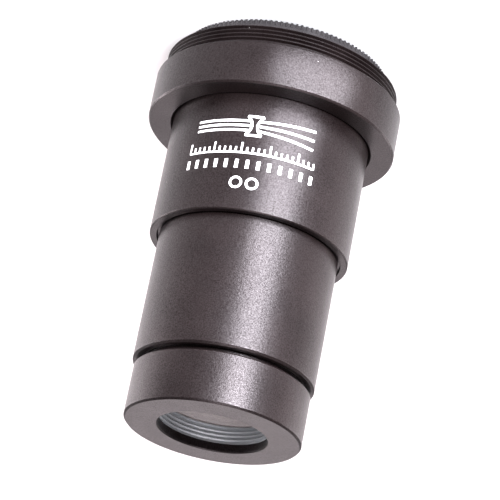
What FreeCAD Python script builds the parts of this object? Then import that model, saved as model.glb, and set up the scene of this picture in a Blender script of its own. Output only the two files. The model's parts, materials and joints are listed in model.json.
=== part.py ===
import FreeCAD, Part
import math
import os

# Barlow lens for 1.25 inch eyepieces, with a camera thread on its wide end.
# It stands on the dust plug that closes the eyepiece socket, nose upwards.
# The origin is the centre of the standing face, and +Z runs along the optical
# axis to the nose. All sizes are in millimetres.

# ---- driving dimensions -------------------------------------------------

# Heights of the stations along the axis, from the standing face up.
plug_rim_height = 2.1
camera_thread_length = 3.95
collar_height = 8.1
label_length = 21.9
barrel_length = 23.9
neck_gap = 0.8
cell_height = 9.3

# The 1.25 inch standard, and what is taken off or added for a sliding fit.
nominal_radius = 15.875
barrel_undersize = 0.025
socket_oversize = 0.035

# Walls and steps that build the radii outwards or inwards from the standard.
tube_wall = 1.69
thread_wall = 3.35
collar_lip = 1.2
barrel_wall = 2.45
nose_thread_wall = 1.6
cell_step = 0.45

# Collar and camera thread (M42 x 0.75, drawn at its major diameter).
thread_relief_width = 0.55
thread_relief_depth = 0.6
shoulder_relief = 0.15
thread_lead_in = 0.4
collar_chamfer = 0.3
collar_bore_chamfer = 0.5

# Body tube, its compression ring groove and the buried end of the barrel.
tube_chamfer = 0.2
tube_bore_chamfer = 0.35
barrel_insert_length = 8.0
seat_step = 0.4
barrel_recess = 0.6
barrel_undercut = 0.35
bond_gap = 0.03
ring_height = 4.0
ring_thickness = 0.8
ring_split = 1.6
ring_clearance = 0.05

# Nose barrel end, and the cell that screws into it (M28.5 x 0.6).
barrel_chamfer = 0.35
boss_length = 3.6
screw_clearance = 0.08
neck_depth = 0.5
boss_chamfer = 0.3

# Nose cell, whose opening is a deep bore down to the lens seat.
cell_chamfer = 0.33
lens_recess = 4.8
opening_radius = 9.5
opening_chamfer = 0.2

# Cemented lens pair: a biconcave front element and a meniscus behind it.
lens_radius = 11.0
lens_clear_radius = 10.2
lens_clearance = 0.05
front_curve_radius = 60.0
cement_curve_radius = 25.0
rear_curve_radius = 45.0
front_centre_thickness = 1.2
rear_centre_thickness = 3.2
cement_gap = 0.02

# Lens retainer with two spanner slots.
retainer_thickness = 2.0
retainer_aperture_radius = 9.6
spanner_slot_width = 1.4
spanner_slot_depth = 0.9

# Clamp screw (M4) and its knurled knob, square to the axis on +Y.
screw_radius = 1.95
screw_hole_clearance = 0.08
screw_tip_gap = 0.1
screw_tip_chamfer = 0.4
screw_in_knob = 6.0
knob_gap = 0.9
knob_neck_radius = 2.9
knob_neck_length = 1.2
knob_radius = 4.0
knob_length = 7.0
knob_chamfer = 0.4

# Dust plug.
plug_overhang = 2.89
plug_disc_thickness = 1.6
plug_skirt_length = 7.0
plug_skirt_wall = 1.3
plug_clearance = 0.06
plug_draft = 0.35
plug_chamfer = 0.25

# ---- stations and radii worked out from them ----------------------------

thread_end = plug_rim_height
collar_base = thread_end + camera_thread_length
collar_top = collar_base + collar_height
barrel_base = collar_top + label_length
barrel_top = barrel_base + barrel_length
cell_base = barrel_top + neck_gap
nose_face = cell_base + cell_height

barrel_radius = nominal_radius - barrel_undersize
socket_radius = nominal_radius + socket_oversize
label_radius = socket_radius + tube_wall
thread_radius = label_radius + thread_wall
collar_radius = thread_radius + collar_lip
barrel_bore_radius = barrel_radius - barrel_wall
barrel_seat_radius = socket_radius + seat_step
insert_base = barrel_base - barrel_insert_length
boss_radius = barrel_radius - nose_thread_wall
cell_radius = barrel_radius - cell_step
boss_base = barrel_top - boss_length

cell_bore_radius = lens_radius + lens_clearance
lens_seat = nose_face - lens_recess - lens_clearance

ring_inner_radius = socket_radius + ring_clearance
ring_outer_radius = ring_inner_radius + ring_thickness
clamp_height = collar_base + collar_height / 2
screw_hole_radius = screw_radius + screw_hole_clearance
screw_tip = ring_outer_radius + screw_tip_gap
knob_base = collar_radius + knob_gap
screw_end = knob_base + screw_in_knob

AXIS = FreeCAD.Vector(0, 0, 1)
CLAMP_DIRECTION = FreeCAD.Vector(0, 1, 0)
ORIGIN = FreeCAD.Vector(0, 0, 0)


# ---- helpers ------------------------------------------------------------

def turned(outline):
    """Solid of revolution about Z, from a closed outline of (radius, height) points."""
    points = [FreeCAD.Vector(radius, 0, height) for radius, height in outline]
    face = Part.Face(Part.makePolygon(points + points[:1]))
    return face.revolve(ORIGIN, AXIS, 360)


def ball(radius, height):
    """Sphere on the optical axis, centred at the given height."""
    return Part.makeSphere(radius, FreeCAD.Vector(0, 0, height), AXIS, -90, 90, 360)


def sagitta(curve_radius, radius):
    """Depth of a spherical surface between its pole and the given radius."""
    return curve_radius - math.sqrt(curve_radius ** 2 - radius ** 2)


def along_clamp(solid):
    """Lays a solid that was turned about Z onto the clamp screw's axis."""
    laid = solid.copy()
    laid.rotate(ORIGIN, FreeCAD.Vector(1, 0, 0), -90)
    laid.translate(FreeCAD.Vector(0, 0, clamp_height))
    return laid


def clamp_hole():
    """Radial hole for the clamp screw, from the groove out through the collar."""
    start = FreeCAD.Vector(0, nominal_radius / 2, clamp_height)
    return Part.makeCylinder(screw_hole_radius, collar_radius, start, CLAMP_DIRECTION)


# ---- the pieces ---------------------------------------------------------

def dust_plug():
    """Moulded push-in plug: a rim to grip, a closed disc and a tapered skirt in the socket."""
    rim_radius = socket_radius + plug_overhang
    root_radius = socket_radius - plug_clearance
    tip_radius = root_radius - plug_draft
    skirt_bore = tip_radius - plug_skirt_wall
    skirt_top = plug_rim_height + plug_skirt_length
    return turned([
        (0, 0),
        (rim_radius - plug_chamfer, 0),
        (rim_radius, plug_chamfer),
        (rim_radius, plug_rim_height),
        (root_radius, plug_rim_height),
        (tip_radius, skirt_top - plug_chamfer),
        (tip_radius - plug_chamfer, skirt_top),
        (skirt_bore, skirt_top),
        (skirt_bore, plug_disc_thickness),
        (0, plug_disc_thickness),
    ])


def collar():
    """Turned ring round the wide end: camera thread, relief groove and grip flange."""
    bore_radius = label_radius + bond_gap
    relief_radius = thread_radius - thread_relief_depth
    relief_base = collar_base - thread_relief_width
    relief_top = collar_base + shoulder_relief
    shoulder_radius = thread_radius + bond_gap
    ring = turned([
        (bore_radius, thread_end),
        (thread_radius - thread_lead_in, thread_end),
        (thread_radius, thread_end + thread_lead_in),
        (thread_radius, relief_base),
        (relief_radius, relief_base),
        (relief_radius, relief_top),
        (shoulder_radius, relief_top),
        (shoulder_radius, collar_base),
        (collar_radius - collar_chamfer, collar_base),
        (collar_radius, collar_base + collar_chamfer),
        (collar_radius, collar_top - collar_chamfer),
        (collar_radius - collar_chamfer, collar_top),
        (bore_radius + collar_bore_chamfer, collar_top),
        (bore_radius, collar_top - collar_bore_chamfer),
    ])
    return ring.cut(clamp_hole())


def body_tube():
    """Tube that carries the print: eyepiece socket, ring groove and barrel seat."""
    groove_radius = ring_outer_radius + ring_clearance
    groove_base = clamp_height - ring_height / 2
    groove_top = clamp_height + ring_height / 2
    tube = turned([
        (socket_radius + tube_bore_chamfer, thread_end),
        (label_radius, thread_end),
        (label_radius, barrel_base - tube_chamfer),
        (label_radius - tube_chamfer, barrel_base),
        (barrel_seat_radius + tube_bore_chamfer, barrel_base),
        (barrel_seat_radius, barrel_base - tube_bore_chamfer),
        (barrel_seat_radius, insert_base),
        (socket_radius, insert_base),
        (socket_radius, groove_top),
        (groove_radius, groove_top),
        (groove_radius, groove_base),
        (socket_radius, groove_base),
        (socket_radius, thread_end + tube_bore_chamfer),
    ])
    return tube.cut(clamp_hole())


def compression_ring():
    """Split brass ring that the clamp screw presses onto the eyepiece."""
    base = clamp_height - ring_height / 2 + ring_clearance
    top = clamp_height + ring_height / 2 - ring_clearance
    ring = turned([
        (ring_inner_radius, base),
        (ring_outer_radius, base),
        (ring_outer_radius, top),
        (ring_inner_radius, top),
    ])
    corner = FreeCAD.Vector(-ring_split / 2, -ring_outer_radius - ring_split, base - ring_split)
    split = Part.makeBox(ring_split, nominal_radius, ring_height + 2 * ring_split, corner)
    return ring.cut(split)


def nose_barrel():
    """1.25 inch barrel, bonded into the body tube and tapped at its nose end."""
    insert_radius = barrel_seat_radius - bond_gap
    undercut_radius = barrel_radius - barrel_undercut
    tapped_radius = boss_radius + screw_clearance
    return turned([
        (barrel_bore_radius + barrel_chamfer, insert_base),
        (insert_radius, insert_base),
        (insert_radius, barrel_base - barrel_recess),
        (undercut_radius, barrel_base - barrel_recess),
        (undercut_radius, barrel_base),
        (barrel_radius, barrel_base),
        (barrel_radius, barrel_top - barrel_chamfer),
        (barrel_radius - barrel_chamfer, barrel_top),
        (tapped_radius + boss_chamfer, barrel_top),
        (tapped_radius, barrel_top - boss_chamfer),
        (tapped_radius, boss_base),
        (barrel_bore_radius, boss_base),
        (barrel_bore_radius, insert_base + barrel_chamfer),
    ])


def nose_cell():
    """Lens cell: opening bored down to the lens seat, lens bore, neck and screwed boss."""
    neck_radius = boss_radius - neck_depth
    return turned([
        (opening_radius, nose_face - lens_recess),
        (opening_radius, nose_face - opening_chamfer),
        (opening_radius + opening_chamfer, nose_face),
        (cell_radius - cell_chamfer, nose_face),
        (cell_radius, nose_face - cell_chamfer),
        (cell_radius, cell_base + cell_chamfer),
        (cell_radius - cell_chamfer, cell_base),
        (neck_radius, cell_base),
        (neck_radius, barrel_top - boss_chamfer),
        (boss_radius, barrel_top - boss_chamfer),
        (boss_radius, boss_base + boss_chamfer),
        (boss_radius - boss_chamfer, boss_base),
        (cell_bore_radius, boss_base),
        (cell_bore_radius, nose_face - lens_recess),
    ])


def cement_pole():
    """Height of the cemented surface on the axis."""
    front_pole = lens_seat - sagitta(front_curve_radius, lens_clear_radius)
    return front_pole - front_centre_thickness


def lens_back():
    """Height of the flat land round the rear surface, where the retainer presses."""
    rear_pole = cement_pole() - rear_centre_thickness
    return rear_pole - sagitta(rear_curve_radius, lens_clear_radius)


def front_lens():
    """Biconcave front element, with a flat land that rests against the lens seat."""
    base = cement_pole() - sagitta(cement_curve_radius, lens_radius)
    blank = Part.makeCylinder(lens_radius, lens_seat - base, FreeCAD.Vector(0, 0, base), AXIS)
    front_pole = cement_pole() + front_centre_thickness
    front_hollow = ball(front_curve_radius, front_pole + front_curve_radius)
    cement_hollow = ball(cement_curve_radius, cement_pole() - cement_curve_radius)
    return blank.cut(front_hollow).cut(cement_hollow)


def rear_lens():
    """Meniscus rear element, cemented to the front one."""
    base = lens_back()
    front_pole = cement_pole() - cement_gap
    blank = Part.makeCylinder(lens_radius, front_pole - base, FreeCAD.Vector(0, 0, base), AXIS)
    bulge = ball(cement_curve_radius, front_pole - cement_curve_radius)
    rear_pole = cement_pole() - rear_centre_thickness
    rear_hollow = ball(rear_curve_radius, rear_pole - rear_curve_radius)
    return blank.common(bulge).cut(rear_hollow)


def lens_retainer():
    """Screwed ring behind the lens pair, with a slot across it for a pin spanner."""
    top = lens_back() - lens_clearance
    base = top - retainer_thickness
    outer_radius = cell_bore_radius - bond_gap
    ring = turned([
        (retainer_aperture_radius, base),
        (outer_radius, base),
        (outer_radius, top),
        (retainer_aperture_radius, top),
    ])
    corner = FreeCAD.Vector(-lens_radius - spanner_slot_width, -spanner_slot_width / 2,
                            base - spanner_slot_depth)
    slot_length = 2 * (lens_radius + spanner_slot_width)
    slot = Part.makeBox(slot_length, spanner_slot_width, 2 * spanner_slot_depth, corner)
    return ring.cut(slot)


def clamp_screw():
    """Plain steel shank of the clamp screw, from the compression ring into its knob."""
    return along_clamp(turned([
        (0, screw_tip),
        (screw_radius - screw_tip_chamfer, screw_tip),
        (screw_radius, screw_tip + screw_tip_chamfer),
        (screw_radius, screw_end),
        (0, screw_end),
    ]))


def clamp_knob():
    """Knob on the clamp screw: a neck, then the grip that is knurled."""
    grip_base = knob_base + knob_neck_length
    grip_end = grip_base + knob_length
    bore_radius = screw_radius + screw_hole_clearance
    return along_clamp(turned([
        (bore_radius, knob_base),
        (knob_neck_radius, knob_base),
        (knob_neck_radius, grip_base),
        (knob_radius - knob_chamfer, grip_base),
        (knob_radius, grip_base + knob_chamfer),
        (knob_radius, grip_end - knob_chamfer),
        (knob_radius - knob_chamfer, grip_end),
        (0, grip_end),
        (0, screw_end + screw_hole_clearance),
        (bore_radius, screw_end + screw_hole_clearance),
    ]))


PIECES = {
    "dust_plug": dust_plug,
    "collar": collar,
    "body_tube": body_tube,
    "compression_ring": compression_ring,
    "nose_barrel": nose_barrel,
    "nose_cell": nose_cell,
    "front_lens": front_lens,
    "rear_lens": rear_lens,
    "lens_retainer": lens_retainer,
    "clamp_screw": clamp_screw,
    "clamp_knob": clamp_knob,
}

os.makedirs("parts", exist_ok=True)
for node, make in PIECES.items():
    shape = make()
    shape.exportStep("parts/" + node + ".step")
    box = shape.BoundBox
    print(f"{node:18s} volume {shape.Volume:9.2f}  valid {shape.isValid()}  "
          f"z {box.ZMin:6.2f} to {box.ZMax:6.2f}")
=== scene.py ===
import json
import math

import bmesh
import bpy
from mathutils import Matrix, Vector


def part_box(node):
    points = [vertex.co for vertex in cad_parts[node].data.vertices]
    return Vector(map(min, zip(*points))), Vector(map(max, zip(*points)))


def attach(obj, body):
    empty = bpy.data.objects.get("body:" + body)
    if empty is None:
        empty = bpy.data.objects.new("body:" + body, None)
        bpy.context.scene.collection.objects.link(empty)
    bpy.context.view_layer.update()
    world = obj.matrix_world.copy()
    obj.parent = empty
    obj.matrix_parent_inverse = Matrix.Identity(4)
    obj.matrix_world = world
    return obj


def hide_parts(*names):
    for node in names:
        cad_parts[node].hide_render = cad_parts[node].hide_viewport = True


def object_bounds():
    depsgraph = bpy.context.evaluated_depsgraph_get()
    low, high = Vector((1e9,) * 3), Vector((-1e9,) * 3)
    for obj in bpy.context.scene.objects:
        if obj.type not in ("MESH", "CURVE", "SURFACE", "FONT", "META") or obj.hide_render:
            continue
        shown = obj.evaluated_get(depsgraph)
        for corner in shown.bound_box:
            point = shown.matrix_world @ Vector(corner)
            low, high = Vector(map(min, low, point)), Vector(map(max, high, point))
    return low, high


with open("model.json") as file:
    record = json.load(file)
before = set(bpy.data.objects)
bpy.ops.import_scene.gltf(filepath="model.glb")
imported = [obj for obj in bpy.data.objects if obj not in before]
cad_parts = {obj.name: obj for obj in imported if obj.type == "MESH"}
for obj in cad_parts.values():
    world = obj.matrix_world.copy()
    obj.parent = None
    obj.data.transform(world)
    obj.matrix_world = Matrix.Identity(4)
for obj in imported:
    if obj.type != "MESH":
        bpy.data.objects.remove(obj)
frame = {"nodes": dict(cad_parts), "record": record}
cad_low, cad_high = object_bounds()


# ---- body tube ------------------------------------------------------------
# The label tube is turned from aluminium bar, bead-blasted and black anodised.
# Its lower end is the eyepiece socket, and the nose barrel is bonded in its top.

MM = 0.001
TURNED_SIDES = 192


def add(tree, kind, inputs={}, **settings):
    """Adds a node. An input takes a number, a node (its first output) or a socket."""
    made = tree.nodes.new(kind)
    for name, value in settings.items():
        setattr(made, name, value)
    for name, value in inputs.items():
        if isinstance(value, bpy.types.Node):
            value = value.outputs[0]
        if isinstance(value, bpy.types.NodeSocket):
            tree.links.new(value, made.inputs[name])
        else:
            made.inputs[name].default_value = value
    return made


def new_tree(name, sizes):
    """Empty Geometry Nodes tree with named inputs, and the sockets that give them."""
    tree = bpy.data.node_groups.new(name, "GeometryNodeTree")
    tree.interface.new_socket("Geometry", in_out="OUTPUT", socket_type="NodeSocketGeometry")
    tree.interface.new_socket("Geometry", in_out="INPUT", socket_type="NodeSocketGeometry")
    for title, kind in {**sizes, "Finish": "Material"}.items():
        tree.interface.new_socket(title, in_out="INPUT", socket_type="NodeSocket" + kind)
    return tree, add(tree, "NodeGroupInput").outputs


def end_tree(tree, geometry, finish):
    """Closes a tree with real geometry that carries the finish."""
    real = add(tree, "GeometryNodeRealizeInstances", {"Geometry": geometry})
    painted = add(tree, "GeometryNodeSetMaterial", {"Geometry": real, "Material": finish})
    add(tree, "NodeGroupOutput", {"Geometry": painted})


def shape(tree, source, sizes):
    """Runs a tree on a mesh and returns the result as a welded mesh that faces outwards."""
    weld_distance = 0.003 * MM
    holder = bpy.data.objects.new(tree.name, source)
    bpy.context.scene.collection.objects.link(holder)
    modifier = holder.modifiers.new(tree.name, "NODES")
    modifier.node_group = tree
    for item in tree.interface.items_tree:
        if item.in_out == "INPUT" and item.name in sizes:
            modifier[item.identifier] = sizes[item.name]
    depsgraph = bpy.context.evaluated_depsgraph_get()
    result = bpy.data.meshes.new_from_object(holder.evaluated_get(depsgraph))
    bpy.data.objects.remove(holder)
    work = bmesh.new()
    work.from_mesh(result)
    bmesh.ops.remove_doubles(work, verts=work.verts, dist=weld_distance)
    bmesh.ops.recalc_face_normals(work, faces=work.faces)
    work.to_mesh(result)
    work.free()
    return result


def show(name, mesh):
    """Puts a finished mesh in the scene as a piece, smooth but for its sharp corners."""
    sharpest_smooth = math.radians(38)
    mesh.shade_smooth()
    mesh.set_sharp_from_angle(angle=sharpest_smooth)
    piece = bpy.data.objects.new(name, mesh)
    bpy.context.scene.collection.objects.link(piece)
    return piece


def outline(corners, ease=0.08 * MM, closed=True):
    """Edge mesh in the XZ plane from (radius, height) corners, each corner rounded off.
    A corner may carry its own rounding as a third number."""
    support = 0.02 * MM
    steps = 4
    places = [Vector((corner[0], 0, corner[1])) for corner in corners]
    points = []
    for i, here in enumerate(places):
        if not closed and i in (0, len(places) - 1):
            points.append(here)
            continue
        before = places[i - 1] - here
        after = places[(i + 1) % len(places)] - here
        rounding = corners[i][2] if len(corners[i]) > 2 else ease
        cut = rounding / math.tan(before.angle(after) / 2)
        cut = min(cut, 0.4 * before.length, 0.4 * after.length)
        start = here + before.normalized() * cut
        end = here + after.normalized() * cut
        points.append(start + before.normalized() * min(support, 0.05 * before.length))
        for step in range(steps + 1):
            t = step / steps
            points.append(start * (1 - t) ** 2 + here * 2 * t * (1 - t) + end * t ** 2)
        points.append(end + after.normalized() * min(support, 0.05 * after.length))
    edges = [(i, i + 1) for i in range(len(points) - 1)]
    if closed:
        edges.append((len(points) - 1, 0))
    mesh = bpy.data.meshes.new("outline")
    mesh.from_pydata(points, edges, [])
    return mesh


def mount_radius(name):
    """Radius of one of the record's mounts."""
    mount = next(m for m in frame["record"]["mounts"] if m["name"] == name)
    return mount["dims"]["r_mm"] * MM


# Turning: the outline is carried round the axis on a spindle of no width.
spindle_radius = 0.001 * MM
turning, given = new_tree("turning", {"Sides": "Int"})
section = add(turning, "GeometryNodeMeshToCurve", {"Mesh": given["Geometry"]})
section = add(turning, "GeometryNodeTransform",
              {"Geometry": section, "Rotation": (math.pi / 2, 0, 0)})
spindle = add(turning, "GeometryNodeCurvePrimitiveCircle",
              {"Resolution": given["Sides"], "Radius": spindle_radius})
skin = add(turning, "GeometryNodeCurveToMesh", {"Curve": spindle, "Profile Curve": section})
end_tree(turning, skin, given["Finish"])

# Drilling: a radial hole from the axis out along +Y.
drilling, given = new_tree("drilling", {"Radius": "Float", "Length": "Float", "Height": "Float"})
drill = add(drilling, "GeometryNodeMeshCylinder",
            {"Vertices": 48, "Radius": given["Radius"], "Depth": given["Length"]})
middle = add(drilling, "ShaderNodeMath", {0: given["Length"], 1: 0.5}, operation="MULTIPLY")
place = add(drilling, "ShaderNodeCombineXYZ", {"Y": middle, "Z": given["Height"]})
drill = add(drilling, "GeometryNodeTransform",
            {"Geometry": drill, "Rotation": (math.pi / 2, 0, 0), "Translation": place})
bored = add(drilling, "GeometryNodeMeshBoolean",
            {"Mesh 1": given["Geometry"], "Mesh 2": drill},
            operation="DIFFERENCE", solver="EXACT")
end_tree(drilling, bored, given["Finish"])


def new_finish(name, roughness, ior):
    """Material with a plain shader: the material, its tree, its shader and its coordinates."""
    finish = bpy.data.materials.new(name)
    finish.use_nodes = True
    tree = finish.node_tree
    shader = tree.nodes["Principled BSDF"]
    shader.inputs["Roughness"].default_value = roughness
    shader.inputs["IOR"].default_value = ior
    return finish, tree, shader, add(tree, "ShaderNodeTexCoord").outputs["Object"]


def speckle(tree, place, scale, low, high, detail=2.0):
    """Noise of a scale per metre, spread between two values."""
    noise = add(tree, "ShaderNodeTexNoise", {"Vector": place, "Scale": scale, "Detail": detail})
    return add(tree, "ShaderNodeMapRange",
               {"Value": noise, "From Min": 0.3, "From Max": 0.7, "To Min": low, "To Max": high})


def between(tree, factor, first, second):
    """Colour between two colours."""
    mix = add(tree, "ShaderNodeMix", {0: factor, 6: first, 7: second}, data_type="RGBA")
    return mix.outputs[2]


def relief(tree, shader, heights):
    """Bumps the surface by several (height socket, depth) pairs, one after the other."""
    normal = None
    for height, depth in heights:
        bump = add(tree, "ShaderNodeBump", {"Height": height, "Distance": depth, "Strength": 1.0})
        if normal:
            tree.links.new(normal, bump.inputs["Normal"])
        normal = bump.outputs["Normal"]
    tree.links.new(normal, shader.inputs["Normal"])


def blasted_black(name, roughness):
    """Bead-blasted black anodising: fine pits, a cloudy dye and a few specks of dust."""
    dark = (0.002, 0.001, 0.001, 1)
    light = (0.006, 0.004, 0.004, 1)
    dust_grey = (0.35, 0.33, 0.33, 1)
    index = 1.31
    dust_scale, dust_size, dust_rarity = 620.0, 0.06, 0.985
    glint_scale, glint_low, glint_high = 4600, 0.24, 0.80
    pits = ((1700, 0.005 * MM), (5200, 0.010 * MM))
    finish, tree, shader, place = new_finish(name, roughness, index)
    shader.inputs["Specular Tint"].default_value = (1.0, 0.91, 0.945, 1)
    cloud = speckle(tree, place, 90, 0, 1)
    cell = add(tree, "ShaderNodeTexVoronoi", {"Vector": place, "Scale": dust_scale})
    near = add(tree, "ShaderNodeMath", {0: cell.outputs["Distance"], 1: dust_size},
               operation="LESS_THAN")
    draw = add(tree, "ShaderNodeSeparateColor", {"Color": cell.outputs["Color"]})
    rare = add(tree, "ShaderNodeMath", {0: draw, 1: dust_rarity}, operation="GREATER_THAN")
    speck = add(tree, "ShaderNodeMath", {0: near, 1: rare}, operation="MULTIPLY")
    dye = between(tree, speck, between(tree, cloud, dark, light), dust_grey)
    tree.links.new(dye, shader.inputs["Base Color"])
    patch = speckle(tree, place, 260, roughness - 0.02, roughness + 0.03)
    tree.links.new(patch.outputs[0], shader.inputs["Roughness"])
    glint = speckle(tree, place, glint_scale, glint_low, glint_high)
    tree.links.new(glint.outputs[0], shader.inputs["Specular IOR Level"])
    relief(tree, shader, [(speckle(tree, place, scale, 0, 1), depth) for scale, depth in pits])
    return finish


anodised = blasted_black("blasted_black", 0.31)

tube_low, tube_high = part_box("body_tube")
ring_low, ring_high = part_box("compression_ring")
barrel_low, barrel_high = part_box("nose_barrel")
screw_low, screw_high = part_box("clamp_screw")
tube_radius = tube_high.y
tube_edge = 0.2 * MM
tube_mouth = 0.35 * MM
socket_radius = mount_radius("eyepiece_socket")
seat_step = 0.4 * MM
seat_radius = socket_radius + seat_step
groove_gap = 0.05 * MM
groove_radius = ring_high.x + groove_gap
clamp_height = (screw_low.z + screw_high.z) / 2
screw_clearance = 0.08 * MM
screw_hole = screw_high.x + screw_clearance
drill_reach = 1.5

tube_mesh = shape(turning, outline([
    (socket_radius + tube_mouth, tube_low.z),
    (tube_radius, tube_low.z),
    (tube_radius, tube_high.z - tube_edge),
    (tube_radius - tube_edge, tube_high.z),
    (seat_radius, tube_high.z),
    (seat_radius, barrel_low.z),
    (socket_radius, barrel_low.z),
    (socket_radius, ring_high.z + groove_gap),
    (groove_radius, ring_high.z + groove_gap),
    (groove_radius, ring_low.z - groove_gap),
    (socket_radius, ring_low.z - groove_gap),
    (socket_radius, tube_low.z + tube_mouth),
]), {"Sides": TURNED_SIDES, "Finish": anodised})
tube_mesh = shape(drilling, tube_mesh, {
    "Radius": screw_hole, "Length": drill_reach * tube_radius, "Height": clamp_height,
    "Finish": anodised})
tube = show("label_tube", tube_mesh)
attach(tube, "body")
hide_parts("body_tube")


# ---- collar ---------------------------------------------------------------
# The collar is a blasted and anodised ring bonded round the wide end of the tube.
# Its short spigot carries the M42 x 0.75 camera thread, with a relief at the shoulder.

# Threading: one ridge wound on a core as a helix, which dies away at both ends.
# Its root and crest are shares of the pitch, and it is set on the core by a share of its depth.
root_share = 0.86
crest_share = 0.14
set_share = -0.47
threading, given = new_tree("threading", {
    "Core Radius": "Float", "Base": "Float", "Pitch": "Float", "Turns": "Float",
    "Depth": "Float", "Run Out": "Float", "Outwards": "Float", "Sides": "Int"})
rise = add(threading, "ShaderNodeMath", {0: given["Pitch"], 1: given["Turns"]},
           operation="MULTIPLY")
helix = add(threading, "GeometryNodeCurveSpiral", {
    "Resolution": given["Sides"], "Rotations": given["Turns"], "Height": rise,
    "Start Radius": given["Core Radius"], "End Radius": given["Core Radius"]})
start = add(threading, "ShaderNodeCombineXYZ", {"Z": given["Base"]})
helix = add(threading, "GeometryNodeTransform", {"Geometry": helix, "Translation": start})
helix = add(threading, "GeometryNodeSetCurveNormal", {"Curve": helix}, mode="Z_UP")
along = add(threading, "GeometryNodeSplineParameter").outputs["Factor"]
ahead = add(threading, "ShaderNodeMath", {0: 1.0, 1: along}, operation="SUBTRACT")
nearest = add(threading, "ShaderNodeMath", {0: along, 1: ahead}, operation="MINIMUM")
nearest = add(threading, "ShaderNodeMath", {0: nearest, 1: given["Turns"]}, operation="MULTIPLY")
fade = add(threading, "ShaderNodeMath", {0: nearest, 1: given["Run Out"]},
           operation="DIVIDE", use_clamp=True)
helix = add(threading, "GeometryNodeSetCurveRadius", {"Curve": helix, "Radius": fade})
root = add(threading, "ShaderNodeMath", {0: given["Pitch"], 1: root_share},
           operation="MULTIPLY")
crest = add(threading, "ShaderNodeMath", {0: given["Pitch"], 1: crest_share},
            operation="MULTIPLY")
tooth = add(threading, "GeometryNodeCurvePrimitiveQuadrilateral",
            {"Height": given["Depth"], "Bottom Width": root, "Top Width": crest, "Offset": 0.0},
            mode="TRAPEZOID")
lift = add(threading, "ShaderNodeMath", {0: given["Depth"], 1: set_share}, operation="MULTIPLY")
lift = add(threading, "ShaderNodeCombineXYZ", {"X": lift})
tooth = add(threading, "GeometryNodeTransform",
            {"Geometry": tooth, "Rotation": (0, 0, math.pi / 2), "Translation": lift})
way = add(threading, "ShaderNodeCombineXYZ", {"X": given["Outwards"], "Y": 1.0, "Z": 1.0})
tooth = add(threading, "GeometryNodeTransform", {"Geometry": tooth, "Scale": way})
ridge = add(threading, "GeometryNodeCurveToMesh",
            {"Curve": helix, "Profile Curve": tooth, "Fill Caps": True})
end_tree(threading, ridge, given["Finish"])

# A thread is made from its sizes alone, so its tree runs on an empty mesh.
unthreaded = bpy.data.meshes.new("unthreaded")

collar_low, collar_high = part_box("collar")
collar_radius = collar_high.x
collar_base = 6.05 * MM
collar_edge = 0.3 * MM
collar_mouth = 0.5 * MM
bond_gap = 0.03 * MM
collar_bore = tube_radius + bond_gap
thread_radius = mount_radius("camera_thread")
thread_pitch = 0.75 * MM
thread_depth = 0.46 * MM
thread_core = thread_radius - thread_depth
thread_lead = 0.35 * MM
relief_depth = 0.6 * MM
relief_width = 0.55 * MM
relief_radius = thread_radius - relief_depth
relief_base = collar_base - relief_width
shoulder_relief = 0.15 * MM
shoulder_radius = thread_radius + 0.03 * MM

collar_mesh = shape(turning, outline([
    (collar_bore, collar_low.z),
    (thread_core - thread_lead, collar_low.z),
    (thread_core, collar_low.z + thread_lead),
    (thread_core, relief_base),
    (relief_radius, relief_base),
    (relief_radius, collar_base + shoulder_relief),
    (shoulder_radius, collar_base + shoulder_relief),
    (shoulder_radius, collar_base),
    (collar_radius - collar_edge, collar_base),
    (collar_radius, collar_base + collar_edge),
    (collar_radius, collar_high.z - collar_edge),
    (collar_radius - collar_edge, collar_high.z),
    (collar_bore + collar_mouth, collar_high.z),
    (collar_bore, collar_high.z - collar_mouth),
]), {"Sides": TURNED_SIDES, "Finish": anodised})
collar_mesh = shape(drilling, collar_mesh, {
    "Radius": screw_hole, "Length": drill_reach * collar_radius, "Height": clamp_height,
    "Finish": anodised})
collar = show("grip_collar", collar_mesh)
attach(collar, "body")
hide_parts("collar")

thread_start = 0.25 * MM
thread_base = collar_low.z + thread_start
camera_thread = show("camera_thread_ridge", shape(threading, unthreaded, {
    "Core Radius": thread_core, "Base": thread_base, "Pitch": thread_pitch,
    "Turns": (relief_base - thread_base) / thread_pitch, "Depth": thread_depth,
    "Run Out": 0.35, "Outwards": 1.0, "Sides": 144, "Finish": anodised}))
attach(camera_thread, "body")


# ---- nose barrel ----------------------------------------------------------
# The 1.25 inch barrel is bonded into the tube's seat, blasted and anodised with it.
# A fine thread all down its bore traps stray light, and its tip is tapped for the cell.

barrel_radius = mount_radius("nose_barrel")
barrel_wall = 2.45 * MM
barrel_bore = barrel_radius - barrel_wall
insert_radius = seat_radius - bond_gap
recess_depth = 0.6 * MM
recess_base = tube_high.z - recess_depth
undercut_depth = 0.35 * MM
undercut_radius = barrel_radius - undercut_depth
barrel_edge = 0.35 * MM
cell_low, cell_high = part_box("nose_cell")
tapped_wall = 1.6 * MM
tapped_gap = 0.08 * MM
boss_radius = barrel_radius - tapped_wall
tapped_radius = boss_radius + tapped_gap
tapped_mouth = 0.3 * MM

barrel = show("eyepiece_barrel", shape(turning, outline([
    (barrel_bore + barrel_edge, barrel_low.z),
    (insert_radius, barrel_low.z),
    (insert_radius, recess_base),
    (undercut_radius, recess_base),
    (undercut_radius, tube_high.z),
    (barrel_radius, tube_high.z),
    (barrel_radius, barrel_high.z - barrel_edge),
    (barrel_radius - barrel_edge, barrel_high.z),
    (tapped_radius + tapped_mouth, barrel_high.z),
    (tapped_radius, barrel_high.z - tapped_mouth),
    (tapped_radius, cell_low.z),
    (barrel_bore, cell_low.z),
    (barrel_bore, barrel_low.z + barrel_edge),
]), {"Sides": TURNED_SIDES, "Finish": anodised}))
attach(barrel, "body")
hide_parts("nose_barrel")

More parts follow.
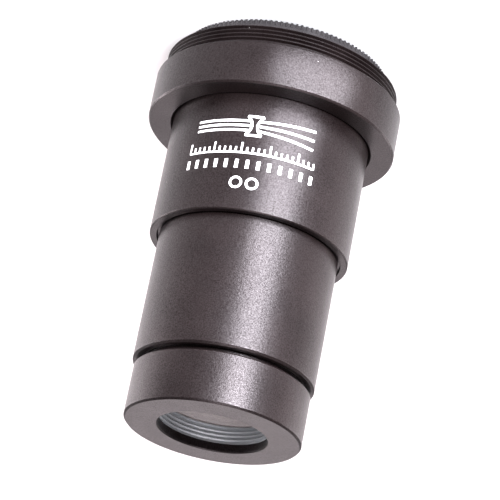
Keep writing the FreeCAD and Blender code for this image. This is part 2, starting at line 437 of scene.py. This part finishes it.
trap_pitch = 0.8 * MM
trap_depth = 0.25 * MM
trap_start = 1.0 * MM
trap_base = barrel_low.z + trap_start
light_trap = show("light_trap_thread", shape(threading, unthreaded, {
    "Core Radius": barrel_bore, "Base": trap_base, "Pitch": trap_pitch,
    "Turns": (cell_low.z - trap_base) / trap_pitch - 1, "Depth": trap_depth,
    "Run Out": 0.5, "Outwards": -1.0, "Sides": 96, "Finish": anodised}))
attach(light_trap, "body")


# ---- nose cell ------------------------------------------------------------
# The cell holds the lens and screws into the barrel by a fine M28.5 x 0.6 thread.
# Its opening is smooth at the lip, then threaded down to the lens, in brighter metal.


def machined_grey(name, colour, roughness):
    """Cut metal under a thin clear anodising, with fine turning lines round the axis."""
    brightening = 1.25
    turning_lines = (1.0, 1.0, 40.0)
    finish, tree, shader, place = new_finish(name, roughness, 1.5)
    shader.inputs["Metallic"].default_value = 1.0
    lines = add(tree, "ShaderNodeMapping", {"Vector": place, "Scale": turning_lines})
    lines = speckle(tree, lines, 500, 0, 1)
    bright = tuple(brightening * part for part in colour[:3]) + (1,)
    tone = between(tree, lines, colour, bright)
    tree.links.new(tone, shader.inputs["Base Color"])
    spread = speckle(tree, place, 900, roughness - 0.06, roughness + 0.06)
    tree.links.new(spread.outputs[0], shader.inputs["Roughness"])
    relief(tree, shader, [(lines, 0.003 * MM)])
    return finish


opening_grey = machined_grey("opening_thread_grey", (0.44, 0.47, 0.49, 1), 0.5)

cell_radius = cell_high.x
cell_base = 60.75 * MM
cell_edge = 0.33 * MM
neck_relief = 0.5 * MM
neck_radius = boss_radius - neck_relief
boss_edge = 0.3 * MM
boss_depth = 0.35 * MM
boss_core = boss_radius - boss_depth
boss_top = barrel_high.z - boss_edge
opening_radius = 9.5 * MM
opening_edge = 0.2 * MM
lip_depth = 1.6 * MM
opening_thread_depth = 0.36 * MM
lens_recess = 4.8 * MM
lens_seat = cell_high.z - lens_recess
lens_land = 0.25 * MM
cell_bore = 11.05 * MM

cell = show("lens_cell", shape(turning, outline([
    (opening_radius, lens_seat),
    (opening_radius, lens_seat + lens_land),
    (opening_radius + opening_thread_depth, lens_seat + lens_land),
    (opening_radius + opening_thread_depth, cell_high.z - lip_depth),
    (opening_radius, cell_high.z - lip_depth),
    (opening_radius, cell_high.z - opening_edge),
    (opening_radius + opening_edge, cell_high.z),
    (cell_radius - cell_edge, cell_high.z),
    (cell_radius, cell_high.z - cell_edge),
    (cell_radius, cell_base + cell_edge),
    (cell_radius - cell_edge, cell_base),
    (neck_radius, cell_base),
    (neck_radius, boss_top),
    (boss_core, boss_top),
    (boss_core, cell_low.z + boss_edge),
    (boss_core - boss_edge, cell_low.z),
    (cell_bore, cell_low.z),
    (cell_bore, lens_seat),
], ease=0.05 * MM), {"Sides": TURNED_SIDES, "Finish": anodised}))
cell.data.materials.append(opening_grey)
grey_within = cell_bore - 0.1 * MM
for face in cell.data.polygons:
    across = face.center.xy.length
    if across < grey_within and lens_seat < face.center.z < cell_high.z - lip_depth:
        face.material_index = 1
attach(cell, "cell")
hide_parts("nose_cell")

boss_pitch = 0.6 * MM
boss_start = 0.2 * MM
boss_base = cell_low.z + boss_start
boss_thread = show("cell_thread_ridge", shape(threading, unthreaded, {
    "Core Radius": boss_core, "Base": boss_base, "Pitch": boss_pitch,
    "Turns": (boss_top - boss_base) / boss_pitch - 0.3, "Depth": boss_depth,
    "Run Out": 0.3, "Outwards": 1.0, "Sides": 144, "Finish": anodised}))
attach(boss_thread, "cell")

opening_pitch = 0.75 * MM
opening_gap = 0.1 * MM
opening_base = lens_seat + lens_land + opening_gap
opening_top = cell_high.z - lip_depth - opening_gap
opening_thread = show("opening_thread_ridge", shape(threading, unthreaded, {
    "Core Radius": opening_radius + opening_thread_depth, "Base": opening_base,
    "Pitch": opening_pitch, "Turns": (opening_top - opening_base) / opening_pitch,
    "Depth": opening_thread_depth, "Run Out": 0.15, "Outwards": -1.0, "Sides": 144,
    "Finish": opening_grey}))
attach(opening_thread, "cell")


# ---- lens pair ------------------------------------------------------------
# The two elements are cemented into one hollow-ground piece with coated faces.
# It drops into the cell's bore, so one piece of glass stands for both elements.


def coated_glass():
    """Clear optical glass with the faint rose reflection of a multi-layer coating."""
    finish, tree, shader, place = new_finish("coated_glass", 0.0, 1.52)
    shader.inputs["Transmission Weight"].default_value = 0.72
    shader.inputs["Specular Tint"].default_value = (1.0, 0.9, 0.93, 1)
    clear = (0.98, 0.92, 0.91, 1)
    faint = (0.92, 0.86, 0.86, 1)
    tree.links.new(between(tree, speckle(tree, place, 300, 0, 1), clear, faint),
                   shader.inputs["Base Color"])
    haze = speckle(tree, place, 1500, 0.0, 0.04)
    tree.links.new(haze.outputs[0], shader.inputs["Roughness"])
    return finish


def ground_edge():
    """The frosted cylinder round the glass, left by the edging wheel."""
    finish, tree, shader, place = new_finish("ground_glass_edge", 0.6, 1.52)
    shader.inputs["Transmission Weight"].default_value = 0.35
    pale = (0.72, 0.70, 0.70, 1)
    dull = (0.55, 0.54, 0.54, 1)
    frost = speckle(tree, place, 2400, 0, 1)
    tree.links.new(between(tree, frost, pale, dull), shader.inputs["Base Color"])
    relief(tree, shader, [(frost, 0.006 * MM)])
    return finish


def hollow(curve, centre_height, rim_radius, steps=24):
    """Points of a spherical face from the axis out to its rim, its pole at centre_height.
    A positive curve rises towards the rim and a negative one falls."""
    points = []
    for i in range(steps + 1):
        radius = rim_radius * i / steps
        sag = abs(curve) - math.sqrt(curve ** 2 - radius ** 2)
        points.append((radius, centre_height + math.copysign(sag, curve)))
    return points


front_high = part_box("front_lens")[1]
rear_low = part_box("rear_lens")[0]
lens_radius = front_high.y
lens_clear = 10.2 * MM
front_curve = 60 * MM
rear_curve = 45 * MM
front_sag = front_curve - math.sqrt(front_curve ** 2 - lens_clear ** 2)
rear_sag = rear_curve - math.sqrt(rear_curve ** 2 - lens_clear ** 2)
lens_bevel = 0.15 * MM

lens_points = hollow(-rear_curve, rear_low.z + rear_sag, lens_clear)
lens_points += [(lens_radius - lens_bevel, rear_low.z),
                (lens_radius, rear_low.z + lens_bevel),
                (lens_radius, front_high.z - lens_bevel),
                (lens_radius - lens_bevel, front_high.z)]
lens_points += reversed(hollow(front_curve, front_high.z - front_sag, lens_clear))
lens_outline = bpy.data.meshes.new("lens_outline")
lens_outline.from_pydata([(radius, 0, height) for radius, height in lens_points],
                         [(i, i + 1) for i in range(len(lens_points) - 1)], [])
glass = coated_glass()
lens_mesh = shape(turning, lens_outline, {"Sides": TURNED_SIDES, "Finish": glass})
lens_mesh.materials.append(ground_edge())
for face in lens_mesh.polygons:
    if face.center.xy.length > lens_clear and abs(face.normal.z) < 0.9:
        face.material_index = 1
lens = show("lens_pair", lens_mesh)
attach(lens, "lenses")
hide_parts("front_lens", "rear_lens")


# ---- lens retainer --------------------------------------------------------
# The retainer is a turned ring behind the glass with a slot for a pin spanner.
# It is the designed solid itself, in plain satin anodising.

retainer_finish = blasted_black("retainer_black", 0.36)
frame["nodes"]["lens_retainer"].data.materials.clear()
frame["nodes"]["lens_retainer"].data.materials.append(retainer_finish)


# ---- compression ring -----------------------------------------------------
# The split ring is turned brass, left bright, and lies loose in the socket's groove.
# The clamp screw closes it on the eyepiece.


def turned_brass():
    """Bright brass with turning lines and slightly dulled patches."""
    finish, tree, shader, place = new_finish("turned_brass", 0.3, 1.5)
    shader.inputs["Metallic"].default_value = 1.0
    bright = (0.80, 0.58, 0.26, 1)
    dull = (0.55, 0.38, 0.17, 1)
    tree.links.new(between(tree, speckle(tree, place, 240, 0, 1), bright, dull),
                   shader.inputs["Base Color"])
    lines = add(tree, "ShaderNodeMapping", {"Vector": place, "Scale": (1.0, 1.0, 30.0)})
    lines = speckle(tree, lines, 400, 0, 1)
    relief(tree, shader, [(lines, 0.004 * MM)])
    spread = speckle(tree, place, 700, 0.22, 0.40)
    tree.links.new(spread.outputs[0], shader.inputs["Roughness"])
    return finish


frame["nodes"]["compression_ring"].data.materials.clear()
frame["nodes"]["compression_ring"].data.materials.append(turned_brass())


# ---- clamp screw ----------------------------------------------------------
# An M4 steel screw runs through the collar and the tube onto the brass ring.
# Its outer end is fixed in the knob.


def cut_steel():
    """Plain cut steel, a little oily, with mottled tone and roughness."""
    finish, tree, shader, place = new_finish("cut_steel", 0.34, 1.5)
    shader.inputs["Metallic"].default_value = 1.0
    pale = (0.56, 0.56, 0.57, 1)
    dark = (0.36, 0.35, 0.34, 1)
    tree.links.new(between(tree, speckle(tree, place, 500, 0, 1), pale, dark),
                   shader.inputs["Base Color"])
    spread = speckle(tree, place, 1200, 0.26, 0.44)
    tree.links.new(spread.outputs[0], shader.inputs["Roughness"])
    return finish


def lay_on_clamp(mesh):
    """Turns a mesh made about Z onto the clamp screw's axis."""
    lying = Matrix.Rotation(-math.pi / 2, 4, "X")
    mesh.transform(Matrix.Translation((0, 0, clamp_height)) @ lying)
    return mesh


steel = cut_steel()
knob_low, knob_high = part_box("clamp_knob")
screw_radius = screw_high.x
screw_pitch = 0.7 * MM
screw_depth = 0.4 * MM
screw_core = screw_radius - screw_depth
screw_tip_edge = 0.3 * MM

screw = show("clamp_screw_shank", lay_on_clamp(shape(turning, outline([
    (0, screw_low.y),
    (screw_core - screw_tip_edge, screw_low.y),
    (screw_core, screw_low.y + screw_tip_edge),
    (screw_core, screw_high.y),
    (0, screw_high.y),
], closed=False), {"Sides": 64, "Finish": steel})))
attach(screw, "screw")
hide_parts("clamp_screw")

screw_thread_start = 0.3 * MM
screw_thread_base = screw_low.y + screw_thread_start
screw_thread = show("clamp_screw_ridge", lay_on_clamp(shape(threading, unthreaded, {
    "Core Radius": screw_core, "Base": screw_thread_base, "Pitch": screw_pitch,
    "Turns": (screw_high.y - screw_thread_base) / screw_pitch - 1, "Depth": screw_depth,
    "Run Out": 0.5, "Outwards": 1.0, "Sides": 48, "Finish": steel})))
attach(screw_thread, "screw")


# ---- clamp knob -----------------------------------------------------------
# The knob is turned aluminium, anodised satin black, with a straight knurl rolled
# round its grip and a shallow dish turned in its end.

# Ribbing: equal ribs stood round a circle, half sunk in the piece they grip.
ribbing, given = new_tree("ribbing", {
    "Count": "Int", "Circle Radius": "Float", "Rib Radius": "Float", "Rib Sides": "Int",
    "Rib Length": "Float", "Base": "Float"})
circle = add(ribbing, "GeometryNodeCurvePrimitiveCircle",
             {"Resolution": given["Count"], "Radius": given["Circle Radius"]})
rib = add(ribbing, "GeometryNodeMeshCylinder", {
    "Vertices": given["Rib Sides"], "Radius": given["Rib Radius"], "Depth": given["Rib Length"]})
outwards = add(ribbing, "FunctionNodeAlignRotationToVector",
               {"Vector": add(ribbing, "GeometryNodeInputPosition")}, axis="X")
ribs = add(ribbing, "GeometryNodeInstanceOnPoints",
           {"Points": circle, "Instance": rib, "Rotation": outwards})
middle = add(ribbing, "ShaderNodeMath", {0: given["Rib Length"], 1: 0.5}, operation="MULTIPLY")
middle = add(ribbing, "ShaderNodeMath", {0: given["Base"], 1: middle}, operation="ADD")
middle = add(ribbing, "ShaderNodeCombineXYZ", {"Z": middle})
ribs = add(ribbing, "GeometryNodeTransform", {"Geometry": ribs, "Translation": middle})
both = add(ribbing, "GeometryNodeJoinGeometry", {"Geometry": ribs})
ribbing.links.new(given["Geometry"], both.inputs["Geometry"])
end_tree(ribbing, both, given["Finish"])

knob_finish = blasted_black("knob_black", 0.33)
knob_radius = knob_high.x
knurl_depth = 0.22 * MM
knob_core = knob_radius - knurl_depth
knob_neck_radius = 2.9 * MM
knob_neck = 1.2 * MM
knob_grip_base = knob_low.y + knob_neck
knob_hole_end = screw_high.y + 0.1 * MM
knob_edge = 0.4 * MM
dish_radius = 2.4 * MM
dish_depth = 0.4 * MM
knurls = 44

knob_mesh = shape(turning, outline([
    (0, knob_hole_end),
    (screw_hole, knob_hole_end),
    (screw_hole, knob_low.y),
    (knob_neck_radius, knob_low.y),
    (knob_neck_radius, knob_grip_base),
    (knob_core - knob_edge, knob_grip_base),
    (knob_core, knob_grip_base + knob_edge),
    (knob_core, knob_high.y - knob_edge),
    (knob_core - knob_edge, knob_high.y),
    (dish_radius, knob_high.y),
    (dish_radius - dish_depth, knob_high.y - dish_depth),
    (0, knob_high.y - dish_depth),
], closed=False), {"Sides": 96, "Finish": knob_finish})
knurl_radius = math.pi * knob_core / knurls
knob_mesh = shape(ribbing, knob_mesh, {
    "Count": knurls, "Circle Radius": knob_radius - knurl_radius, "Rib Radius": knurl_radius,
    "Rib Sides": 4, "Rib Length": knob_high.y - knob_grip_base - 1.6 * knob_edge,
    "Base": knob_grip_base + 0.8 * knob_edge, "Finish": knob_finish})
knob = show("clamp_knob_grip", lay_on_clamp(knob_mesh))
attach(knob, "knob")
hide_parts("clamp_knob")


# ---- dust plug ------------------------------------------------------------
# The plug is moulded in black plastic and pushed into the socket by a tapered skirt.
# The lower part of its rim is ribbed for the fingers, and the rest is a plain lip.


def moulded_black():
    """Semi-gloss black plastic with a faint orange peel and handling marks."""
    finish, tree, shader, place = new_finish("moulded_black", 0.3, 1.48)
    shader.inputs["Specular Tint"].default_value = (1.0, 0.95, 0.97, 1)
    deep = (0.010, 0.009, 0.010, 1)
    faded = (0.022, 0.020, 0.021, 1)
    tree.links.new(between(tree, speckle(tree, place, 150, 0, 1), deep, faded),
                   shader.inputs["Base Color"])
    spread = speckle(tree, place, 420, 0.24, 0.38)
    tree.links.new(spread.outputs[0], shader.inputs["Roughness"])
    relief(tree, shader, [(speckle(tree, place, 700, 0, 1), 0.010 * MM)])
    return finish


plug_low, plug_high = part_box("dust_plug")
plastic = moulded_black()
rim_radius = plug_high.x
rim_height = collar_low.z
rib_radius = 0.23 * MM
rib_stand = 0.18 * MM
rib_band = 0.85 * MM
rib_count = 128
rim_core = rim_radius - rib_stand
rim_edge = 0.25 * MM
lip_edge = 0.1 * MM
lip_round = 0.2 * MM
skirt_play = 0.06 * MM
skirt_taper = 0.35 * MM
skirt_wall = 1.3 * MM
skirt_root = socket_radius - skirt_play
skirt_tip = skirt_root - skirt_taper
skirt_bore = skirt_tip - skirt_wall
disc_top = 1.6 * MM

plug_mesh = shape(turning, outline([
    (0, plug_low.z),
    (rim_core - rim_edge, plug_low.z),
    (rim_core, plug_low.z + rim_edge),
    (rim_core, rib_band),
    (rim_radius, rib_band + lip_edge),
    (rim_radius, rim_height - lip_edge, lip_round),
    (rim_radius - lip_edge, rim_height),
    (skirt_root, rim_height),
    (skirt_tip, plug_high.z - rim_edge),
    (skirt_tip - rim_edge, plug_high.z),
    (skirt_bore, plug_high.z),
    (skirt_bore, disc_top),
    (0, disc_top),
], closed=False), {"Sides": TURNED_SIDES, "Finish": plastic})
plug_mesh = shape(ribbing, plug_mesh, {
    "Count": rib_count, "Circle Radius": rim_radius - rib_radius, "Rib Radius": rib_radius,
    "Rib Sides": 10, "Rib Length": rib_band, "Base": plug_low.z + 0.05 * MM,
    "Finish": plastic})
plug = show("plug_moulding", plug_mesh)
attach(plug, "plug")
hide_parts("dust_plug")


# ---- printed mark ---------------------------------------------------------
# White ink is screen-printed on the label tube: a ray diagram of a hollow lens, a
# graduated rule, a row of bars and a pair of rings. It reads with the nose downwards.

# Printing: lines drawn flat are wrapped on the tube and given their width in ink.
printing, given = new_tree("printing", {
    "Tube Radius": "Float", "Height": "Float", "Line Width": "Float", "Ink": "Float"})
drawn = add(printing, "ShaderNodeSeparateXYZ",
            {"Vector": add(printing, "GeometryNodeInputPosition")})
angle = add(printing, "ShaderNodeMath", {0: drawn.outputs["X"], 1: given["Tube Radius"]},
            operation="DIVIDE")
sine = add(printing, "ShaderNodeMath", {0: angle}, operation="SINE")
cosine = add(printing, "ShaderNodeMath", {0: angle}, operation="COSINE")
round_x = add(printing, "ShaderNodeMath", {0: sine, 1: given["Tube Radius"]},
              operation="MULTIPLY")
round_y = add(printing, "ShaderNodeMath", {0: cosine, 1: given["Tube Radius"]},
              operation="MULTIPLY")
height = add(printing, "ShaderNodeMath", {0: given["Height"], 1: drawn.outputs["Z"]},
             operation="SUBTRACT")
outer = add(printing, "ShaderNodeCombineXYZ", {"X": round_x, "Y": round_y})
outer = add(printing, "ShaderNodeVectorMath", {0: outer, 1: (-1, -1, 0)}, operation="MULTIPLY")
lifted = add(printing, "ShaderNodeCombineXYZ", {"Z": height})
wrapped = add(printing, "ShaderNodeVectorMath", {0: outer, 1: lifted}, operation="ADD")
lines = add(printing, "GeometryNodeSetPosition",
            {"Geometry": given["Geometry"], "Position": wrapped})
lines = add(printing, "GeometryNodeMeshToCurve", {"Mesh": lines})
flat = add(printing, "ShaderNodeVectorMath",
           {0: add(printing, "GeometryNodeInputPosition"), 1: (1, 1, 0)}, operation="MULTIPLY")
flat = add(printing, "ShaderNodeVectorMath", {0: flat}, operation="NORMALIZE")
lines = add(printing, "GeometryNodeSetCurveNormal", {"Curve": lines, "Normal": flat}, mode="FREE")
nib = add(printing, "GeometryNodeCurvePrimitiveQuadrilateral",
          {"Width": given["Ink"], "Height": given["Line Width"]}, mode="RECTANGLE")
inked = add(printing, "GeometryNodeCurveToMesh",
            {"Curve": lines, "Profile Curve": nib, "Fill Caps": True})
end_tree(printing, inked, given["Finish"])


def white_ink():
    """Opaque white ink, slightly uneven in the print."""
    finish, tree, shader, place = new_finish("white_ink", 0.55, 1.45)
    full = (0.86, 0.85, 0.85, 1)
    thin = (0.70, 0.69, 0.69, 1)
    tree.links.new(between(tree, speckle(tree, place, 1800, 0, 1), full, thin),
                   shader.inputs["Base Color"])
    relief(tree, shader, [(speckle(tree, place, 3500, 0, 1), 0.004 * MM)])
    return finish


def strokes(paths, step=0.4 * MM):
    """Edge mesh in the XZ plane from paths of points, cut fine enough to wrap a tube."""
    points = []
    edges = []
    for path in paths:
        points.append((path[0][0], 0, path[0][1]))
        for (x0, z0), (x1, z1) in zip(path, path[1:]):
            parts = max(1, math.ceil(math.hypot(x1 - x0, z1 - z0) / step))
            for i in range(1, parts + 1):
                t = i / parts
                points.append((x0 + (x1 - x0) * t, 0, z0 + (z1 - z0) * t))
                edges.append((len(points) - 2, len(points) - 1))
    mesh = bpy.data.meshes.new("strokes")
    mesh.from_pydata(points, edges, [])
    return mesh


def bowed(x, half_height, bow, steps=12):
    """Upright line at x that bows sideways by bow at its ends, as a lens face does."""
    heights = [2 * i / steps - 1 for i in range(steps + 1)]
    return [(x + bow * t * t, half_height * t) for t in heights]


ink = white_ink()
print_height = (collar_high.z + tube_high.z) / 2
print_shift = 0.6 * MM
ray_row = 4.9 * MM
rule_row = 0.7 * MM
bar_row = -2.4 * MM
ring_row = -5.9 * MM
ray_reach = 10.8 * MM
lens_half = 1.8 * MM

lens_waist = 0.5 * MM
lens_bow = 0.9 * MM
lens_rim = 1.4 * MM
ray_gap = 0.9 * MM
ray_spread = 0.9 * MM
ray_spread_far = 1.75 * MM
lens_lines = [bowed(-lens_waist, lens_half, -lens_bow), bowed(lens_waist, lens_half, lens_bow),
              [(-lens_rim, lens_half), (lens_rim, lens_half)],
              [(-lens_rim, -lens_half), (lens_rim, -lens_half)]]
for side in (-1, 0, 1):
    near = side * ray_spread
    lens_lines.append([(-ray_reach, near), (-ray_gap, near)])
    lens_lines.append([(ray_gap, near), (ray_reach, side * ray_spread_far)])

rule_half = 11.5 * MM
rule_step = 1.0 * MM
rule_marks = 24
rule_line = -0.95 * MM
long_mark = 0.95 * MM
short_mark = 0.1 * MM
rule_lines = [[(-rule_half, rule_line), (rule_half, rule_line)]]
for i in range(rule_marks):
    across = -rule_half + i * rule_step
    rule_lines.append([(across, rule_line), (across, short_mark if i % 5 else long_mark)])

ring_offset = 1.4 * MM
ring_size = 0.95 * MM
ring_turns = [math.tau * i / 24 for i in range(25)]
ring_lines = []
for side in (-1, 1):
    middle = side * ring_offset
    ring_lines.append([(middle + ring_size * math.sin(turn), ring_size * math.cos(turn))
                       for turn in ring_turns])

bar_step = 1.9 * MM
bar_half = 0.8 * MM
bar_lines = [[(i * bar_step, -bar_half), (i * bar_step, bar_half)] for i in range(-6, 7)]
ink_depth = 0.05 * MM

for name, row, lines, width in (("printed_rays", ray_row, lens_lines, 0.42 * MM),
                                ("printed_rule", rule_row, rule_lines, 0.32 * MM),
                                ("printed_bars", bar_row, bar_lines, 0.6 * MM),
                                ("printed_rings", ring_row, ring_lines, 0.36 * MM)):
    placed = [[(across + print_shift, up + row) for across, up in line] for line in lines]
    mark = show(name, shape(printing, strokes(placed), {
        "Tube Radius": tube_radius, "Height": print_height, "Line Width": width,
        "Ink": ink_depth, "Finish": ink}))
    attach(mark, "body")


# ---- floor, light and camera ----------------------------------------------
# A plain pale floor goes with the dust plug, which is what stands on it. Soft panels
# round the object and near its foot light it, and the camera looks down at it a little.

floor_half = 3.0
floor_mesh = bpy.data.meshes.new("floor")
floor_corners = [(-floor_half, -floor_half, 0), (floor_half, -floor_half, 0),
                 (floor_half, floor_half, 0), (-floor_half, floor_half, 0)]
floor_mesh.from_pydata(floor_corners, [], [(0, 1, 2, 3)])
floor = bpy.data.objects.new("floor", floor_mesh)
bpy.context.scene.collection.objects.link(floor)
floor_finish, floor_tree, floor_shader, floor_place = new_finish("floor_pale", 0.9, 1.3)
floor_dull = (0.84, 0.84, 0.84, 1)
floor_clean = (0.86, 0.86, 0.86, 1)
floor_cloud = speckle(floor_tree, floor_place, 3, 0, 1)
floor_tree.links.new(between(floor_tree, floor_cloud, floor_dull, floor_clean),
                     floor_shader.inputs["Base Color"])
floor_mesh.materials.append(floor_finish)
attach(floor, "plug")

world = bpy.data.worlds.new("studio")
bpy.context.scene.world = world
world.use_nodes = True
sky = world.node_tree.nodes["Background"]
sky.inputs["Color"].default_value = (1.0, 0.94, 0.96, 1)
sky.inputs["Strength"].default_value = 0.6
bpy.context.scene.view_settings.view_transform = "Standard"

aim = Vector((0, 0, (cad_low.z + cad_high.z) / 2))


def lamp(name, bearing, distance, height, width, tall, power, tint=(1.0, 0.915, 0.94)):
    """Soft rectangular light. Bearing 0 is -Y and 90 is -X. It faces the object, or faces
    up if it lies on the floor."""
    light = bpy.data.lights.new(name, "AREA")
    light.shape = "RECTANGLE"
    light.size = width
    light.size_y = tall
    light.energy = power
    light.color = tint
    holder = bpy.data.objects.new(name, light)
    bpy.context.scene.collection.objects.link(holder)
    turn = math.radians(bearing)
    holder.location = (-math.sin(turn) * distance, -math.cos(turn) * distance, height)
    if height > 0.01:
        holder.rotation_mode = "QUATERNION"
        holder.rotation_quaternion = (holder.location - aim).to_track_quat("Z", "Y")
    else:
        holder.rotation_euler = (math.pi, 0, -turn)
    holder.visible_camera = False


# Each lamp: bearing, distance, height, width and length in metres, then power in watts.
cool = (0.96, 0.98, 1.03)
lamp("key", 32, 0.25, 0.04, 0.12, 0.05, 3.2, cool)
lamp("key_near", 32, 0.045, 0.003, 0.035, 0.03, 0.075, cool)
lamp("key_middle", 32, 0.085, 0.003, 0.055, 0.03, 0.23, cool)
lamp("key_far", 32, 0.12, 0.003, 0.075, 0.04, 0.27, cool)
lamp("side_left", 122, 0.35, 0.08, 0.24, 0.12, 1.3)
lamp("side_right", 262, 0.35, 0.08, 0.24, 0.12, 2.4)
lamp("back", 187, 0.45, 0.35, 0.4, 0.3, 0.95, (1.0, 0.87, 0.91))
lamp("overhead", 25, 0.3, 0.6, 0.3, 0.3, 2.2)

camera_data = bpy.data.cameras.new("camera")
camera_data.lens = 185.2
camera_data.sensor_width = 36.0
camera_data.clip_start = 0.01
camera_data.clip_end = 20.0
camera = bpy.data.objects.new("camera", camera_data)
bpy.context.scene.collection.objects.link(camera)
bpy.context.scene.camera = camera
azimuth = math.radians(-12.0)
elevation = math.radians(22.73)
roll = math.radians(191.29)
back = Vector((math.sin(azimuth) * math.cos(elevation),
               -math.cos(azimuth) * math.cos(elevation), math.sin(elevation)))
level_right = Vector((math.cos(azimuth), math.sin(azimuth), 0))
level_up = back.cross(level_right)
right = math.cos(roll) * level_right + math.sin(roll) * level_up
up = -math.sin(roll) * level_right + math.cos(roll) * level_up
looked_at = Vector((0, 0, cad_high.z - 40 * MM))
slide, drop, stand_off = 0.75, 5.09, 452.2
camera.location = looked_at - right * slide * MM - up * drop * MM + back * stand_off * MM
camera.rotation_mode = "QUATERNION"
camera.rotation_quaternion = Matrix((right, up, back)).transposed().to_quaternion()
